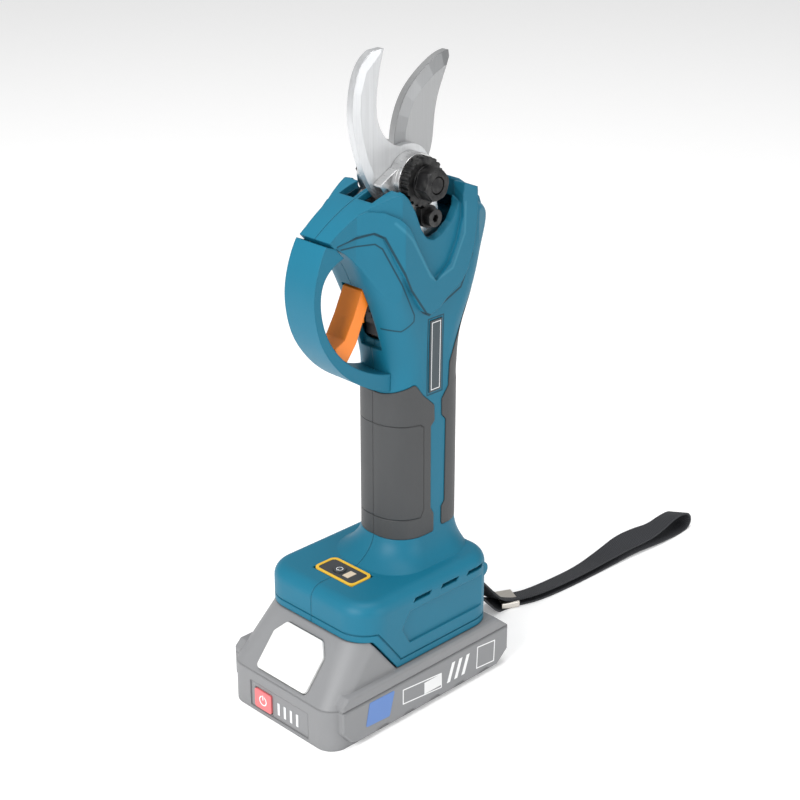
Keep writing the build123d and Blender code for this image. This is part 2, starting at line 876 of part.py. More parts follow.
def pivot_nut():
    """Flanged hexagon nut, 13 mm across flats, corners rounded off."""
    with BuildPart() as nut:
        with BuildSketch(Plane.XZ.offset(16.4)):
            with Locations((PIVOT_X, PIVOT_Z)):
                Circle(7.6)
        extrude(amount=0.9)
        with BuildSketch(Plane.XZ.offset(17.3)):
            with Locations((PIVOT_X, PIVOT_Z)):
                RegularPolygon(6.5, 6, major_radius=False, rotation=12)
        extrude(amount=6.7)
        with BuildSketch(Plane.XZ.offset(16.4)):
            with Locations((PIVOT_X, PIVOT_Z)):
                Circle(BOLT_RADIUS + 0.02)
        extrude(amount=8, mode=Mode.SUBTRACT)
        with BuildSketch(Plane.XZ.offset(16.0)):
            with Locations((PIVOT_X, PIVOT_Z)):
                Circle(10.4)
        extrude(amount=8.0, taper=24, mode=Mode.INTERSECT)
    return nut.part


def lock_tab():
    """Small plate under the lock screw, its tooth sits in a notch of the wheel."""
    with BuildPart() as tab:
        with BuildSketch(Plane.XZ.offset(12.1)):
            with Locations((19.5, 232.3)):
                Circle(5.2)
            with BuildLine():
                Polyline((14.4, 231.5), (24.6, 231.5), (21.8, 236.8), (14.4, 236.8), close=True)
            make_face()
            with Locations(polar(11.35, -81)):
                Circle(0.85)
            with Locations(polar(12.4, -81)):
                Rectangle(1.7, 2.0)
            with Locations((19.5, 232.3)):
                Circle(2.05, mode=Mode.SUBTRACT)
        extrude(amount=3.0)
    return tab.part


def lock_screw():
    """Socket head screw through the lock tab into the frame."""
    head = cross_bar(19.5, 232.3, -18.9, -15.1, 4.0) + cross_bar(19.5, 232.3, -15.1, -9.6, 2.0)
    with BuildPart() as socket:
        with BuildSketch(Plane.XZ.offset(16.6)):
            with Locations((19.5, 232.3)):
                RegularPolygon(1.6, 6, major_radius=False)
        extrude(amount=3.0)
    return head - socket.part


# ---------------------------------------------------------------- drive

def gearbox():
    """Closed gearbox case under the bridge, open for both shafts."""
    case = pillar(PIVOT_X, 0, 150.0, 197.9, DRIVE_RADIUS)
    case = case - pillar(PIVOT_X, 0, 152.5, 195.5, DRIVE_RADIUS - 1.8)
    return case - pillar(PIVOT_X, 0, 140, 170, 2.56)


def motor_can():
    """Motor housing tube with end walls."""
    can = pillar(PIVOT_X, 0, 98.0, 149.9, DRIVE_RADIUS) - pillar(PIVOT_X, 0, 100.0, 147.9, DRIVE_RADIUS - 1.2)
    return can - pillar(PIVOT_X, 0, 90, 160, 2.56)


def motor_stator():
    """Laminated ring inside the can."""
    return pillar(PIVOT_X, 0, 104.0, 144.0, DRIVE_RADIUS - 1.25) - pillar(PIVOT_X, 0, 100, 150, 7.2)


def motor_rotor():
    """Magnet rotor on its shaft."""
    return pillar(PIVOT_X, 0, 105.0, 143.0, 6.8) + pillar(PIVOT_X, 0, 96.5, 155.0, 2.5)


def pinion_bearing():
    """Bearing sleeve in the bridge of the frame."""
    return pillar(PIVOT_X, 0, 198.2, 205.8, 7.98) - pillar(PIVOT_X, 0, 190, 210, 3.55)


def trigger():
    """Trigger lever with its bent foot and the lug that works the switch."""
    outline = [
        (-12.8, 203.4),
        (-18.4, 191.7),
        (-23.3, 183.4),
        (-29.3, 180.6),
        (-26.6, 175.4),
        (-22.2, 172.6),
        (-16.6, 180.0),
        (-11.8, 190.6),
        (-8.2, 199.0),
        (-5.4, 205.6),
        (-8.4, 207.5),
        (-9.0, 204.9),
        (-10.9, 203.9),
    ]
    lever = side_solid(outline, TRIGGER_HALF, 0.6)
    lever = lever + cross_bar(TRIGGER_X, TRIGGER_Z, -TRIGGER_HALF, TRIGGER_HALF, 3.2)
    lever = lever + block(-13.5, -7.9, -2.0, 2.0, 186.5, 190.0)
    return lever - cross_bar(TRIGGER_X, TRIGGER_Z, -20, 20, 1.55)


def switch_board():
    """Switch board behind the trigger, with the switch and its plunger."""
    board = block(1.1, 2.3, -6.0, 6.0, 177.0, 197.0)
    return board + block(-1.9, 1.1, -3.2, 3.2, 184.0, 191.5) + block(-2.7, -1.9, -1.2, 1.2, 187.0, 189.5)


def controller_board():
    """Motor controller in the base: board, heat sink and capacitor."""
    board = block(-20.0, 33.0, -26.0, 26.0, 51.0, 52.6)
    sink = block(8.0, 28.0, 6.0, 24.0, 52.6, 57.5)
    for step in range(5):
        sink = sink - block(10.0 + 4 * step, 11.6 + 4 * step, 5.0, 25.0, 54.0, 58.0)
    can = pillar(-8.0, -14.0, 52.6, 59.5, 5.0)
    return board + sink + can


# ---------------------------------------------------------------- base fittings

def panel_plate():
    """Dark plate of the display panel."""
    with BuildPart() as plate:
        with BuildSketch(Plane.XY.offset(63.8)):
            with Locations((PANEL_CENTRE, 0)):
                RectangleRounded(11.0, 23.4, 2.0)
        extrude(amount=1.4)
    plate = plate.part - pillar(PANEL_CENTRE, 2.2, 60, 70, 3.2)
    return plate - block(PANEL_CENTRE - 2.9, PANEL_CENTRE + 2.9, -6.4, -2.4, 60, 70)


def panel_border():
    """Coloured frame round the panel plate."""
    with BuildPart() as border:
        with BuildSketch(Plane.XY.offset(63.8)):
            with Locations((PANEL_CENTRE, 0)):
                RectangleRounded(14.0, 26.4, 3.2)
                RectangleRounded(11.1, 23.5, 2.05, mode=Mode.SUBTRACT)
        extrude(amount=1.6)
    return border.part


def power_button():
    """Round push button with its stem."""
    return pillar(PANEL_CENTRE, 2.2, 64.0, 65.7, 3.1) + pillar(PANEL_CENTRE, 2.2, 60.6, 64.0, 1.4)


def led_window():
    """Light window beside the button."""
    return block(PANEL_CENTRE - 2.8, PANEL_CENTRE + 2.8, -6.3, -2.5, 63.8, 65.3)


def display_board():
    """Small board under the power button."""
    return block(-29.0, -13.0, -9.0, 9.0, 57.6, 58.8) + block(-23.0, -19.0, 0.2, 4.2, 58.8, 59.9)


TERMINALS = (-9.0, 0.0, 9.0)


def terminal_block():
    """Contact block hanging from the base into the open pocket of the battery."""
    body = block(28.0, 42.0, -15.0, 15.0, 34.6, RAIL_TOP + 0.6)
    for y in TERMINALS:
        body = body - block(26.0, 31.0, y - 0.42, y + 0.42, 35.9, 43.1)
    return body


def terminal_blades():
    """Three flat contacts."""
    return Compound(children=[block(13.0, 31.0, y - 0.4, y + 0.4, 36.0, 43.0).solid() for y in TERMINALS])


# ---------------------------------------------------------------- battery

def pack_plan(level, front, half, corner):
    """Rounded plan of the battery at one level."""
    with BuildSketch(Plane.XY.offset(level)) as plan:
        with Locations(((front + PACK_REAR) / 2, 0)):
            RectangleRounded(PACK_REAR - front, 2 * half, corner)
    return plan.sketch


def side_plates(outline):
    """Raised plates on both long sides of the battery."""
    with BuildPart() as plate:
        with BuildSketch(Plane.XZ.offset(PACK_HALF - 3)) as shape:
            with BuildLine():
                Polyline(*outline, close=True)
            make_face()
        extrude(amount=PLATE_HALF - PACK_HALF + 3)
        chamfer(plate.faces().sort_by(Axis.Y)[0].edges(), 0.9)
    return plate.part + plate.part.mirror(Plane.XZ)


NOSE_FRONT = -42.0
LATCH_PLANE = Plane(origin=(-52.66, 0, 33.0), x_dir=(0, -1, 0), z_dir=(-25.0, 0, 20.5))


def latch_solid(spare, back, proud):
    """Latch plate on the sloping front of the battery."""
    side = 17.0 + spare
    with BuildPart() as plate:
        with BuildSketch(LATCH_PLANE.offset(-back)) as shape:
            with BuildLine():
                Polyline(
                    (-12.0, 12.6 + spare),
                    (-side, 6.0),
                    (-side, -12.6 - spare),
                    (side, -12.6 - spare),
                    (side, 6.0),
                    (12.0, 12.6 + spare),
                    close=True,
                )
            make_face()
            fillet(shape.vertices(), 2.2)
        extrude(amount=back + proud)
    return plate.part


def battery_tray():
    """Lower half of the battery case."""
    body = extrude(pack_plan(0.0, PACK_FRONT, PACK_HALF, 9.0), amount=PACK_SPLIT)
    scallop = [(-57.0, PACK_SPLIT), (-57.0, 9.5), (-52.0, 3.6), (-47.0, 1.6)]
    for step in range(5):
        start = -36.0 + 17.0 * step
        scallop += [(start, 1.6), (start + 2.0, 3.0), (start + 7.0, 3.0), (start + 9.0, 1.6)]
    scallop += [(46.0, 1.6), (53.5, 8.0), (53.5, PACK_SPLIT)]
    body = body + side_plates(scallop)
    inner = PACK_HALF - PACK_WALL - 0.3
    body = body - block(-54.0, 50.5, -inner, inner, PACK_WALL, PACK_SPLIT)
    body = body - latch_solid(0.3, 6.5, 4.0)
    body = body - block(-70.0, -61.3, -20.2, 20.2, 1.8, 15.6)
    return body - block(-61.4, -56.0, 5.0, 17.0, 2.8, 13.2)


def battery_cover():
    """Upper half of the battery case with nose, rails and terminal slots."""
    with BuildPart() as nose:
        add(pack_plan(PACK_SPLIT, PACK_FRONT, PACK_HALF, 9.0))
        add(pack_plan(PACK_NOSE, NOSE_FRONT, PACK_HALF - 2.5, 14.0))
        loft()
    side = [
        (-70.0, PACK_SPLIT),
        (-70.0, PACK_NOSE),
        (-34.3, PACK_NOSE),
        (-20.4, PACK_DECK),
        (46.0, PACK_DECK),
        (54.0, PACK_SPLIT),
    ]
    body = nose.part & side_solid(side, 50, 0)
    ledge = PACK_DECK - 0.2
    plates = [(-57.0, PACK_SPLIT), (-57.0, 24.0), (-53.5, ledge), (46.2, ledge), (53.5, PACK_SPLIT)]
    body = body + side_plates(plates)
    body = body + block(-28.0, 43.0, -NECK_HALF, NECK_HALF, PACK_DECK - 1, RAIL_TOP)
    body = body + block(-28.0, 43.0, -RAIL_HALF, RAIL_HALF, RAIL_UNDER, RAIL_TOP)
    inner = PACK_HALF - PACK_WALL - 1.0
    body = body - block(-54.0, 46.0, -inner, inner, PACK_SPLIT, PACK_DECK - 2.3)
    low = PACK_SPLIT - 1
    nose_room = [(-59.4, low), (-40.6, 43.0), (-36.5, 43.0), (-27.0, 30.0), (-27.0, low)]
    body = body - side_solid(nose_room, 22.0, 0)
    body = body - latch_solid(0.3, 6.5, 4.0)
    body = body - block(26.0, 60.0, -16.0, 16.0, 34.0, 50.0)
    for y in TERMINALS:
        body = body - block(10.0, 29.0, y - 1.7, y + 1.7, PACK_SPLIT, 50.0)
    return body


def battery_cells():
    """Five round cells lying across the pack."""
    group = []
    for step in range(5):
        x = -39.4 + CELL_PITCH * step
        body = cross_bar(x, PACK_WALL + 0.2 + CELL_RADIUS, -CELL_LENGTH / 2, CELL_LENGTH / 2, CELL_RADIUS)
        group.append(body.solid())
    return Compound(children=group)


def battery_contacts():
    """Pairs of contact leaves that grip the terminal blades."""
    group = []
    for y in TERMINALS:
        for side in (-1, 1):
            low = y + side * 0.8 - 0.3
            group.append(block(12.0, 24.0, low, low + 0.6, 23.8, 42.5).solid())
    return Compound(children=group)


def battery_board():
    """Protection board over the cells."""
    return block(-40.0, 40.0, -24.0, 24.0, 22.2, 23.8)


GAUGE_LIGHTS = (0.6, -3.7, -8.0, -12.3)


def gauge_panel():
    """Recessed panel on the battery front."""
    panel = block(-62.1, -61.3, -20.0, 20.0, 2.0, 15.4)
    panel = panel - block(-70, -50, 5.0, 17.0, 2.8, 13.2)
    for y in GAUGE_LIGHTS:
        panel = panel - block(-62.2, -61.7, y - 0.8, y + 0.8, 4.6, 11.2)
    return panel


def gauge_lights():
    """Four charge lights."""
    return Compound(
        children=[block(-62.2, -61.7, y - 0.75, y + 0.75, 4.65, 11.15).solid() for y in GAUGE_LIGHTS]
    )


def gauge_button():
    """Square button beside the charge lights."""
    with BuildPart() as button:
        add(block(-62.9, -59.5, 5.2, 16.8, 3.0, 13.0))
        fillet(button.edges().filter_by(Axis.X), 1.2)
    return button.part


def side_labels():
    """Thin plain labels on both sides of the battery."""
    outline = [(-43.0, 7.6), (-28.0, 6.8), (-24.6, 19.2), (-40.5, 19.6)]
    right = side_slab(outline, -PLATE_HALF - 0.2, -PLATE_HALF, 0.8)
    return Compound(children=[right.solid(), right.mirror(Plane.XZ).solid()])


# ---------------------------------------------------------------- strap

def strap_loop():
    """Doubled webbing: round its pin, down to the surface, along it and back."""
    middle = [
        (PIN_X - 3.2, PIN_Z),
        (PIN_X, PIN_Z + 3.2),
        (87.0, 2.45),
        (190.0, 2.45),
        (222.0, 9.5),
        (230.0, 9.5),
        (230.0, 1.0),
        (86.0, 1.0),
    ]
    rounds = [2.19, 2.19, 14.0, 60.0, 30.0, 3.6, 3.6, 16.0]
    with BuildPart() as web:
        with BuildSketch(Plane.XZ) as loop:
            with BuildLine():
                Polyline(*middle, close=True)
            make_face()
            for corner, bend in zip(middle, rounds):
                fillet(loop.vertices().sort_by_distance((corner[0], corner[1], 0))[0], bend)
            offset(amount=WEB_THICK / 2)
            offset(amount=-WEB_THICK, mode=Mode.SUBTRACT)
        extrude(amount=WEB_HALF, both=True)
    return web.part


def strap_crimp():
    """Metal sleeve closed over both layers."""
    return block(92.0, 105.0, -6.6, 6.6, 0.03, 3.45) - block(90, 110, -6.15, 6.15, 0.36, 3.1)


# ---------------------------------------------------------------- export

right_shell, left_shell = shells()
save(right_shell, "shell_right")
save(left_shell, "shell_left")
save(guard_solid(), "finger_guard")
save(back_cover_solid(0), "back_cover")
front_right, front_left = halves(grip_part(FRONT_GRIP))
save(front_right, "front_grip_right")
save(front_left, "front_grip_left")
rear_right, rear_left = halves(grip_part(REAR_GRIP))
save(rear_right, "rear_grip_right")
save(rear_left, "rear_grip_left")
save(name_plate(0), "name_plate_right")
save(name_plate(0).mirror(Plane.XZ), "name_plate_left")
save(screw_set(), "housing_screws")
save(head_frame(), "head_frame")
save(fixed_blade(), "fixed_blade")
save(cross_bar(-1.5, 246.5, -9.0, FIXED_IN, 1.5), "blade_pin")
save(moving_blade(), "moving_blade")
save(sector_gear(), "sector_gear")
save(gear_screws(), "gear_screws")
save(pivot_bolt(), "pivot_bolt")
save(lock_gear(), "lock_gear")
save(pivot_nut(), "pivot_nut")
save(lock_tab(), "lock_tab")
save(lock_screw(), "lock_screw")
save(bevel_pinion(), "bevel_pinion")
save(pinion_bearing(), "pinion_bearing")
save(gearbox(), "gearbox_case")
save(motor_can(), "motor_can")
save(motor_stator(), "motor_stator")
save(motor_rotor(), "motor_rotor")
save(trigger(), "trigger")
save(cross_bar(TRIGGER_X, TRIGGER_Z, -8.8, 8.8, 1.5), "trigger_pin")
save(switch_board(), "switch_board")
save(controller_board(), "controller_board")
save(panel_plate(), "panel_plate")
save(panel_border(), "panel_border")
save(power_button(), "power_button")
save(led_window(), "led_window")
save(display_board(), "display_board")
save(terminal_block(), "terminal_block")
save(terminal_blades(), "terminal_blades")
save(battery_tray(), "battery_tray")
save(battery_cover(), "battery_cover")
save(latch_solid(0, 3.0, 1.1), "battery_latch")
save(battery_cells(), "battery_cells")
save(battery_board(), "battery_board")
save(battery_contacts(), "battery_contacts")
save(gauge_panel(), "gauge_panel")
save(gauge_lights(), "gauge_lights")
save(gauge_button(), "gauge_button")
save(side_labels(), "side_labels")
save(cross_bar(PIN_X, PIN_Z, -8.8, 8.8, 1.5), "strap_pin")
save(strap_loop(), "strap_webbing")
save(strap_crimp(), "strap_crimp")
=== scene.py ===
# %% [markdown]
# # Battery electric pruner
# The CAD model gives every hard piece its size and place. This script loads it
# as a fixed frame, gives each piece the finish of the real material, makes the
# soft wrist strap, and sets the light and the camera.

# %% Load the frame
import json
import math

import bmesh
import bpy
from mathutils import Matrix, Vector


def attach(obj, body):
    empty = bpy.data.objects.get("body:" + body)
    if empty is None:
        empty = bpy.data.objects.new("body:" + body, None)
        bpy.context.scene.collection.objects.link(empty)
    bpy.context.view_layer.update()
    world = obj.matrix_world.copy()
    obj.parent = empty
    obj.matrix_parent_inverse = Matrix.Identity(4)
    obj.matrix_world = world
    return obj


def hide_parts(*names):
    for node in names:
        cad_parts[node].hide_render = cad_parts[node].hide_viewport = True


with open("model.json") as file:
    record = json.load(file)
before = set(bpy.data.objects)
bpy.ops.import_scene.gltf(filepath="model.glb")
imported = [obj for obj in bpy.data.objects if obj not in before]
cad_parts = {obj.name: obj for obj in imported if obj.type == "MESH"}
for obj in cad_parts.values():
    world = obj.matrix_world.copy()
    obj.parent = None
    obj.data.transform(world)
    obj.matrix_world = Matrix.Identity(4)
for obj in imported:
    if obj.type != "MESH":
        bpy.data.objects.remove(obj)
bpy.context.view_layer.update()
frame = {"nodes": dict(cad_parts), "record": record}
nodes = frame["nodes"]

# %% [markdown]
# ## Small helpers
# Operators act on whatever is selected, so each piece starts from an empty
# selection. A finished piece has its place in its mesh and its object at the
# origin, as the CAD pieces have.

# %% Selection and finishing
MM = 0.001


def nothing_selected():
    """Leave edit mode and clear the selection."""
    if bpy.context.object and bpy.context.object.mode != "OBJECT":
        bpy.ops.object.mode_set(mode="OBJECT")
    bpy.ops.object.select_all(action="DESELECT")


def only(piece):
    """Make one piece the only selected and active one."""
    nothing_selected()
    piece.select_set(True)
    bpy.context.view_layer.objects.active = piece


def settle(piece, name, body):
    """Name a new piece, put its place into its mesh and let it ride on its body."""
    only(piece)
    piece.name = name
    bpy.ops.object.transform_apply(location=True, rotation=True, scale=True)
    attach(piece, body)
    print(name, "made,", len(piece.data.polygons), "faces")


# %% [markdown]
# ## Shader maths as expressions
# A wrapped socket lets a pattern be written as a formula. One method adds any
# other node, with its settings first and its inputs after them.

# %% Sockets that calculate
class Wire:
    """A socket in a material's node tree that takes part in expressions."""

    def __init__(self, shop, socket):
        self.shop = shop
        self.socket = socket

    def math(self, kind, *others, clamp=False):
        """Result of one Math node."""
        values = dict(enumerate((self,) + others))
        return self.shop.node("ShaderNodeMath", {"operation": kind, "use_clamp": clamp}, values)

    def __add__(self, other):
        return self.math("ADD", other)

    def __sub__(self, other):
        return self.math("SUBTRACT", other)

    def __mul__(self, other):
        return self.math("MULTIPLY", other)

    def __truediv__(self, other):
        return self.math("DIVIDE", other)

    def __rsub__(self, other):
        return self.shop.node("ShaderNodeMath", {"operation": "SUBTRACT"}, {0: other, 1: self})

    __radd__ = __add__
    __rmul__ = __mul__


class Shop:
    """One material under construction."""

    def __init__(self, name):
        self.material = bpy.data.materials.new(name)
        self.material.use_nodes = True
        self.tree = self.material.node_tree
        self.shader = self.tree.nodes["Principled BSDF"]

    def node(self, kind, settings, inputs, output=0):
        """Add a node, set it up, feed it and return one output."""
        made = self.tree.nodes.new(kind)
        for key, value in settings.items():
            setattr(made, key, value)
        for key, value in inputs.items():
            self.feed(made.inputs[key], value)
        return Wire(self, made.outputs[output])

    def feed(self, socket, value):
        """Link a wire to a socket, or set the socket's own value."""
        if isinstance(value, Wire):
            self.tree.links.new(value.socket, socket)
        else:
            socket.default_value = value

    def place(self, scale=(1, 1, 1)):
        """Object coordinates, stretched."""
        spot = self.node("ShaderNodeTexCoord", {}, {}, "Object")
        return self.node("ShaderNodeMapping", {}, {"Vector": spot, "Scale": scale})

    def noise(self, spot, size, detail=3.0, rough=0.55):
        """Noise value with features of a size in metres."""
        inputs = {"Vector": spot, "Scale": 1.0 / size, "Detail": detail, "Roughness": rough}
        return self.node("ShaderNodeTexNoise", {}, inputs)

    def blend(self, mask, first, second):
        """Colour that goes from first to second with the mask."""
        made = self.tree.nodes.new("ShaderNodeMix")
        made.data_type = "RGBA"
        self.feed(made.inputs["Factor"], mask)
        self.feed(made.inputs[6], first if isinstance(first, Wire) else (*first, 1))
        self.feed(made.inputs[7], second if isinstance(second, Wire) else (*second, 1))
        return Wire(self, made.outputs[2])

    def bump(self, height, depth, strength=1.0, base=None):
        """Normal from a height value; depth is in metres."""
        inputs = {"Height": height, "Distance": depth, "Strength": strength}
        if base is not None:
            inputs["Normal"] = base
        return self.node("ShaderNodeBump", {}, inputs)

    def soft_edges(self, radius):
        """Normal that rounds every sharp edge by a radius in metres."""
        return self.node("ShaderNodeBevel", {"samples": 6}, {"Radius": radius})

    def axes(self):
        """The three object coordinates in millimetres."""
        spot = self.place((1000, 1000, 1000))
        parts = self.tree.nodes.new("ShaderNodeSeparateXYZ")
        self.feed(parts.inputs[0], spot)
        return [Wire(self, parts.outputs[index]) for index in range(3)]

    def vector(self, kind, inputs, output=0):
        """Result of one Vector Math node."""
        return self.node("ShaderNodeVectorMath", {"operation": kind}, inputs, output)

    def distance(self, points):
        """Distance in millimetres, on the side view, to a line through points (x, z)."""
        flat = self.place((1000, 0, 1000))
        nearest = None
        for (x0, z0), (x1, z1) in zip(points, points[1:]):
            run = Vector((x1 - x0, 0, z1 - z0))
            unit = run / run.length_squared
            start = self.vector("SUBTRACT", {0: flat, 1: (x0, 0, z0)})
            share = self.vector("DOT_PRODUCT", {0: start, 1: unit}, 1).math("ADD", 0.0, clamp=True)
            foot = self.vector("SCALE", {0: run, 3: share})
            gap = self.vector("DISTANCE", {0: start, 1: foot}, 1)
            nearest = gap if nearest is None else nearest.math("MINIMUM", gap)
        return nearest

    def finish(self, **sockets):
        """Set or link the shader's sockets and return the material."""
        for key, value in sockets.items():
            self.feed(self.shader.inputs[key.replace("_", " ")], value)
        return self.material


def window(value, low, high):
    """1 where a wire lies between two numbers, else 0."""
    return value.math("GREATER_THAN", low) * value.math("LESS_THAN", high)


def stroke(gap, width, soft=0.25):
    """1 on a line of some width in millimetres, falling to 0 beside it."""
    return ((width / 2 + soft) - gap).math("DIVIDE", soft, clamp=True)


# %% [markdown]
# ## Moulded plastic
# The housing is glass-filled nylon from a spark-eroded mould: a very fine even
# grain, slightly polished where hands rub, and edges with a small radius.

# %% Moulded plastic
def moulded(name, colour, rough, edge=0.0006):
    """Fine-grained injection moulded plastic."""
    shop = Shop(name)
    spot = shop.place()
    fine = shop.noise(spot, 0.00028, 2.0)
    broad = shop.noise(spot, 0.03, 3.0)
    deep, pale = [c * 0.94 for c in colour], [min(1, c * 1.06) for c in colour]
    tint = shop.blend(broad * 0.5, deep, pale)
    rounded = shop.soft_edges(edge) if edge else None
    normal = shop.bump(fine, 0.00003, 0.5, rounded)
    return shop.finish(Base_Color=tint, Roughness=broad * 0.10 + (rough - 0.05), Normal=normal)


GRIP = (0.044, 0.046, 0.048)
finish_of = {
    "black_plastic": moulded("black_plastic", (0.02, 0.02, 0.022), 0.5, edge=0),
    "orange": moulded("orange_plastic", (0.93, 0.235, 0.012), 0.34, edge=0.0006),
    "yellow": moulded("yellow_border", (0.83, 0.50, 0.035), 0.38, edge=0.0003),
    "panel_dark": moulded("panel_dark", (0.035, 0.038, 0.042), 0.33, edge=0.0003),
    "window": moulded("light_window", (0.70, 0.58, 0.44), 0.30, edge=0.0002),
    "white": moulded("white_latch", (0.80, 0.80, 0.79), 0.36, edge=0.0012),
    "red": moulded("red_button", (0.72, 0.16, 0.17), 0.38, edge=0.0005),
    "blue": moulded("blue_label", (0.10, 0.21, 0.50), 0.42, edge=0),
    "light": moulded("charge_light", (0.75, 0.77, 0.79), 0.25, edge=0),
    "board": moulded("circuit_board", (0.01, 0.10, 0.04), 0.4, edge=0),
    "cell": moulded("cell_sleeve", (0.03, 0.16, 0.42), 0.3, edge=0),
}

# %% [markdown]
# ## Housing
# The housing sides carry fine moulded grooves: one under the raised band, a
# ridge inside it, one round the cheek behind the trigger, and one round the
# name plate. They are narrow and follow the side view, so the material paints
# the grooves as dark lines of painted shade, and the ridge as a lighter line
# of painted highlight.

# %% Housing plastic with its grooves
TEAL = (0.005, 0.140, 0.225)
BAND_GROOVE = [
    (-30, 228.6), (-12.5, 231.4), (-8.4, 229), (3.8, 203), (13, 190), (17, 187.6), (37, 196), (44, 210), (46.5, 236),
]
BAND_RIDGE = [(-4, 235), (4.5, 226), (15.4, 207), (19, 204.2), (29.5, 207.4), (37, 222), (37.2, 236)]
CHEEK_GROOVE = [(-28, 226.6), (-12, 226.6), (-8.8, 224), (7.6, 190), (7.4, 187.2), (1.4, 183.4), (-11, 186)]


def housing():
    """Teal glass-filled nylon; the grooves on both sides are painted shade and the ridge is a painted highlight."""
    shop = Shop("teal_nylon")
    spot = shop.place()
    broad = shop.noise(spot, 0.03, 3.0)
    x, y, z = shop.axes()
    across = y.math("ABSOLUTE")
    deep = stroke(shop.distance(BAND_GROOVE), 0.7, 0.35)
    cheek_groove_shade = stroke(shop.distance(CHEEK_GROOVE), 0.35, 0.35)
    oblong = ((x - 21.4).math("ABSOLUTE") - 4.9).math("MAXIMUM", (z - 167.0).math("ABSOLUTE") - 18.6)
    plate_groove_shade = stroke(oblong.math("ABSOLUTE"), 0.3, 0.3)
    groove_shade = deep.math("MAXIMUM", cheek_groove_shade).math("MAXIMUM", plate_groove_shade) * across.math("GREATER_THAN", 9.0)
    ridge_highlight = stroke(shop.distance(BAND_RIDGE), 0.2, 0.9) * across.math("GREATER_THAN", 12.0)
    tint = shop.blend(broad, [c * 0.93 for c in TEAL], [c * 1.07 for c in TEAL])
    # Painted shade: the grooves are drawn as dark lines in the colour.
    tint = shop.blend(groove_shade * 0.8, tint, [c * 0.12 for c in TEAL])
    # Painted highlight: the ridge is drawn as a lighter line in the colour.
    tint = shop.blend(ridge_highlight * 0.22, tint, (0.10, 0.36, 0.48))
    normal = shop.bump(shop.noise(spot, 0.00045, 2.0), 0.00004, 0.5, shop.soft_edges(0.0009))
    return shop.finish(Base_Color=tint, Roughness=broad * 0.08 + 0.44, Normal=normal, Specular_IOR_Level=0.3)


finish_of["teal"] = housing()

# %% [markdown]
# ## Battery case
# The case is a mid-grey nylon. Its long sides carry plain printed graphics:
# an outlined oblong, three leaning bars and an outlined box, in white ink.

# %% Battery plastic with plain printed shapes
PACK = (0.215, 0.218, 0.224)
OBLONG = [(-19, 16.6), (6.3, 14.4), (6.5, 6.6), (-19, 9.0), (-19, 16.6)]
BOX = [(31.5, 17.8), (43.6, 16.6), (43.2, 5.2), (31, 6.2), (31.5, 17.8)]


def battery_case():
    """Grey nylon with white outlines on the raised side plates."""
    shop = Shop("battery_grey")
    spot = shop.place()
    broad = shop.noise(spot, 0.03, 3.0)
    x, y, z = shop.axes()
    lines = stroke(shop.distance(OBLONG).math("MINIMUM", shop.distance(BOX)), 0.5, 0.1)
    lean = x - (z - 12) * 0.35
    bars = (window(lean, 12, 14.2) + window(lean, 17, 19.2) + window(lean, 22, 24.2)) * window(z, 7.0, 17.0)
    half_fill = window(x, -5.0, 6.2) * window(z, 8.0, 14.2) * 0.9
    ink = lines.math("MAXIMUM", bars).math("MAXIMUM", half_fill) * y.math("ABSOLUTE").math("GREATER_THAN", 37.7)
    tint = shop.blend(broad, [c * 0.95 for c in PACK], [c * 1.05 for c in PACK])
    tint = shop.blend(ink, tint, (0.80, 0.80, 0.80))
    grain = shop.bump(shop.noise(spot, 0.00045, 2.0), 0.00004, 0.5, shop.soft_edges(0.0014))
    return shop.finish(Base_Color=tint, Roughness=broad * 0.08 + 0.44, Normal=grain)


finish_of["pack_grey"] = battery_case()

# %% [markdown]
# ## Rubber grip
# The overmoulded grips are a dark thermoplastic rubber. It is duller than the
# nylon and its grain is coarser. A fine moulded line runs round the finger
# panel of the front grip; it is drawn as a dark line of painted shade and
# pressed in with a bump.

# %% Rubber
GRIP_LINE = [(-6, 135.2), (12.0, 135.2), (14.2, 133.6), (14.4, 91.0), (12.4, 87.6), (-6, 87.6)]


def rubber():
    """Soft grip material."""
    shop = Shop("grip_rubber")
    spot = shop.place()
    grain = shop.noise(spot, 0.0005, 3.0)
    broad = shop.noise(spot, 0.02, 2.0)
    lines = stroke(shop.distance(GRIP_LINE), 0.25, 0.3)
    tint = shop.blend(broad, [c * 0.9 for c in GRIP], [c * 1.12 for c in GRIP])
    # Painted shade: the moulded line is drawn darker in the colour.
    tint = shop.blend(lines * 0.8, tint, [c * 0.15 for c in GRIP])
    normal = shop.bump(grain, 0.00010, 0.55, shop.soft_edges(0.0008))
    normal = shop.bump(1 - lines, 0.0003, 0.8, normal)
    return shop.finish(Base_Color=tint, Roughness=broad * 0.1 + 0.46, Normal=normal)


finish_of["grip"] = rubber()

# %% [markdown]
# ## Steel
# Machined parts carry fine scratches that run one way. The scratches are noise
# stretched along one direction, and they change roughness as well as height.

# %% Ground steel
def ground_steel(name, colour, rough, along, stretch=40.0):
    """Steel with scratches along one axis of the row frame."""
    shop = Shop(name)
    scale = [1.0, 1.0, 1.0]
    scale[along] = 1.0 / stretch
    lines = shop.noise(shop.place(tuple(scale)), 0.0009, 4.0, 0.7)
    cloud = shop.noise(shop.place(), 0.012, 3.0)
    tint = shop.blend(lines, [c * 0.80 for c in colour], [min(1, c * 1.12) for c in colour])
    normal = shop.bump(lines, 0.000012, 0.6, shop.soft_edges(0.0003))
    dullness = lines * 0.22 + cloud * 0.08 + (rough - 0.15)
    return shop.finish(Base_Color=tint, Metallic=1.0, Roughness=dullness, Normal=normal)


